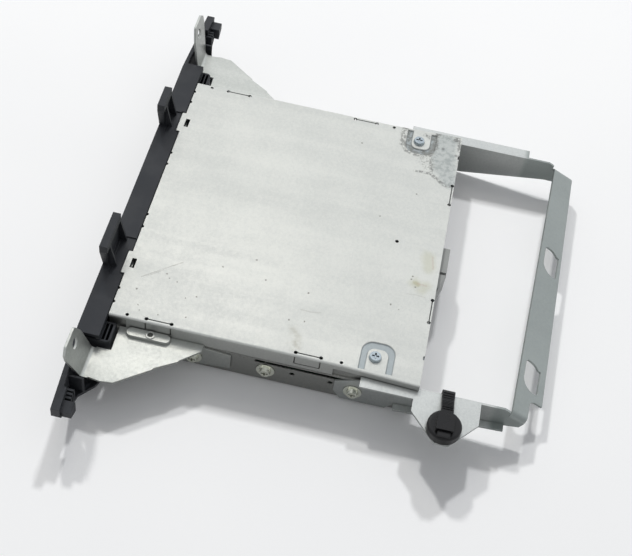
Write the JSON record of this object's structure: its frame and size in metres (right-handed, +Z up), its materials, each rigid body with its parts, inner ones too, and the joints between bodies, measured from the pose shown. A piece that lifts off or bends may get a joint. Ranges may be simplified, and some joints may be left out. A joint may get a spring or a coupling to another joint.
{
  "type": "car disc player",
  "caption": "Slim slot-loading car disc player in a folded steel housing, with a dark front trim, upright fixing ears and a rear bracket with a tilted cross strip.",
  "frame": {"origin": "under the middle of the whole unit, on the surface the housing rests on", "axes": "+Z up, -Y toward the front trim, +X along the trim toward the side with the harness clip"},
  "size_m": [0.2992, 0.2416, 0.046],
  "materials": {
    "cover_steel": "dull zinc-coated sheet",
    "case_steel": "dull zinc-coated sheet",
    "bracket_steel": "dull zinc-coated sheet",
    "screw_steel": "zinc plated",
    "trim_plastic": "fine grained moulding",
    "felt": "short pile",
    "board_laminate": "lacquered",
    "chip_plastic": "satin",
    "clip_plastic": "satin",
    "connector_plastic": "satin",
    "pin_brass": "plated",
    "motor_steel": "satin",
    "gear_plastic": "satin",
    "shaft_steel": "ground",
    "roller_rubber": "dull",
    "pickup_metal": "die cast",
    "lens_glass": "polished"
  },
  "bodies": {
    "chassis": {"top_cover": "cover_steel", "lower_case": "case_steel", "left_front_bracket": "bracket_steel", "right_front_bracket": "bracket_steel", "rear_bracket": "bracket_steel", "side_screws": "screw_steel", "cover_screws": "screw_steel", "trim_screws": "screw_steel", "board_screws": "screw_steel", "front_bezel": "trim_plastic", "dust_lips": "felt", "eject_switch": "board_laminate", "main_board": "board_laminate", "board_chips": "chip_plastic", "capacitors": "chip_plastic", "harness_clip_body": "clip_plastic", "harness_clip_strap": "clip_plastic", "rear_connector": "connector_plastic", "connector_pins": "pin_brass", "disc_guide": "bracket_steel"},
    "button": {"eject_button": "trim_plastic"},
    "loader": {"loader_frame": "bracket_steel", "loading_motor": "motor_steel"},
    "roller": {"roller_shaft": "shaft_steel", "loading_roller": "roller_rubber", "roller_gear": "gear_plastic"},
    "idler": {"idler_gear": "gear_plastic"},
    "pinion": {"motor_pinion": "gear_plastic"},
    "drive_deck": {"deck": "case_steel", "damper_bushes": "roller_rubber", "spindle_motor": "motor_steel", "guide_rods": "shaft_steel", "sled_motor": "motor_steel"},
    "spindle": {"turntable": "gear_plastic"},
    "sled": {"optical_pickup": "pickup_metal", "objective_lens": "lens_glass"},
    "lead": {"lead_screw": "shaft_steel"},
    "clamp": {"clamp_arm": "case_steel"},
    "puck": {"clamp_puck": "gear_plastic"}
  },
  "joints": [
    {"name": "eject_press", "type": "slide", "parent": "chassis", "child": "button", "axis": [0, 1, 0], "range_m": [0, 0.0012], "stiffness_N_per_m": 400},
    {"name": "loader_swing", "type": "hinge", "parent": "chassis", "child": "loader", "pos_m": [0, -0.07235, 0.006], "axis": [-1, 0, 0], "range_deg": [0, 8.21]},
    {"name": "roller_spin", "type": "hinge", "parent": "loader", "child": "roller", "pos_m": [0, -0.10035, 0.0108], "axis": [1, 0, 0], "continuous": true},
    {"name": "idler_spin", "type": "hinge", "parent": "loader", "child": "idler", "pos_m": [0.0627, -0.0897, 0.009], "axis": [1, 0, 0], "continuous": true},
    {"name": "pinion_spin", "type": "hinge", "parent": "loader", "child": "pinion", "pos_m": [0.0627, -0.08011, 0.0094], "axis": [1, 0, 0], "continuous": true},
    {"name": "deck_float", "type": "slide", "parent": "chassis", "child": "drive_deck", "axis": [0, 0, 1], "range_m": [-0.0008, 0.0008], "stiffness_N_per_m": 12000, "springref_m": 0.00014, "deforming": ["damper_bushes"]},
    {"name": "disc_spin", "type": "hinge", "parent": "drive_deck", "child": "spindle", "pos_m": [0, -0.03835, 0.012], "axis": [0, 0, 1], "continuous": true},
    {"name": "sled_slide", "type": "slide", "parent": "drive_deck", "child": "sled", "axis": [1, 0, 0], "range_m": [0, 0.034]},
    {"name": "lead_turn", "type": "hinge", "parent": "drive_deck", "child": "lead", "pos_m": [0.03, -0.01235, 0.009], "axis": [1, 0, 0], "continuous": true},
    {"name": "clamp_swing", "type": "hinge", "parent": "drive_deck", "child": "clamp", "pos_m": [0, 0.02965, 0.0212], "axis": [1, 0, 0], "range_deg": [0, 4.39], "stiffness_Nm_per_rad": 0.05, "springref_deg": -22.92},
    {"name": "puck_spin", "type": "hinge", "parent": "clamp", "child": "puck", "pos_m": [0, -0.03835, 0.021], "axis": [0, 0, 1], "continuous": true}
  ],
  "couplings": [
    {"joint": "idler_spin", "follows": "roller_spin", "ratio": -0.8},
    {"joint": "pinion_spin", "follows": "roller_spin", "ratio": 1.3333},
    {"joint": "lead_turn", "follows": "sled_slide", "rad_per_m": 2094.4}
  ]
}
